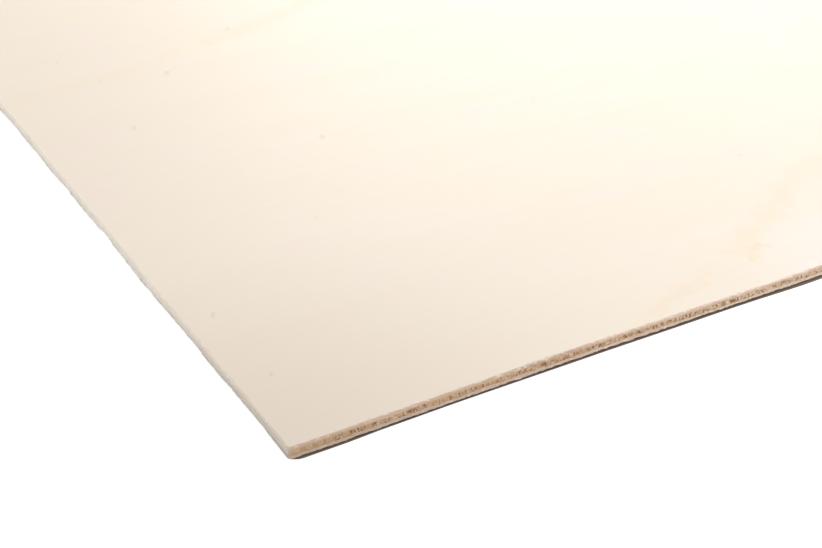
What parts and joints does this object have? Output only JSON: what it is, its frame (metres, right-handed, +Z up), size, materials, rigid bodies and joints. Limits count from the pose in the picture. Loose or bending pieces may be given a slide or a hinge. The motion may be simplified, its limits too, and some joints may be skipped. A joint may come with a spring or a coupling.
{
  "type": "plywood sheet",
  "caption": "Thin flat rectangular sheet of pale plywood glued up from crossed veneers, with sawn edges that show the brown core, for panelling, backing and lining.",
  "frame": {"origin": "under the middle of the sheet, on the surface that its back face lies on", "axes": "+X along the sheet's length and the grain of its outer veneers, +Y across the sheet, +Z up through its thickness, out of the face"},
  "size_m": [1.22, 0.61, 0.0055],
  "materials": {
    "face_veneer": "pale cream veneer, sanded, unsealed, grain along X",
    "core_veneer": "brown crossband, rough sawn end grain on the long edges",
    "back_veneer": "pale tan veneer, lightly sanded, unsealed, grain along X"
  },
  "bodies": {
    "root": {"face_veneer": "face_veneer", "core_veneer": "core_veneer", "back_veneer": "back_veneer"}
  },
  "joints": []
}
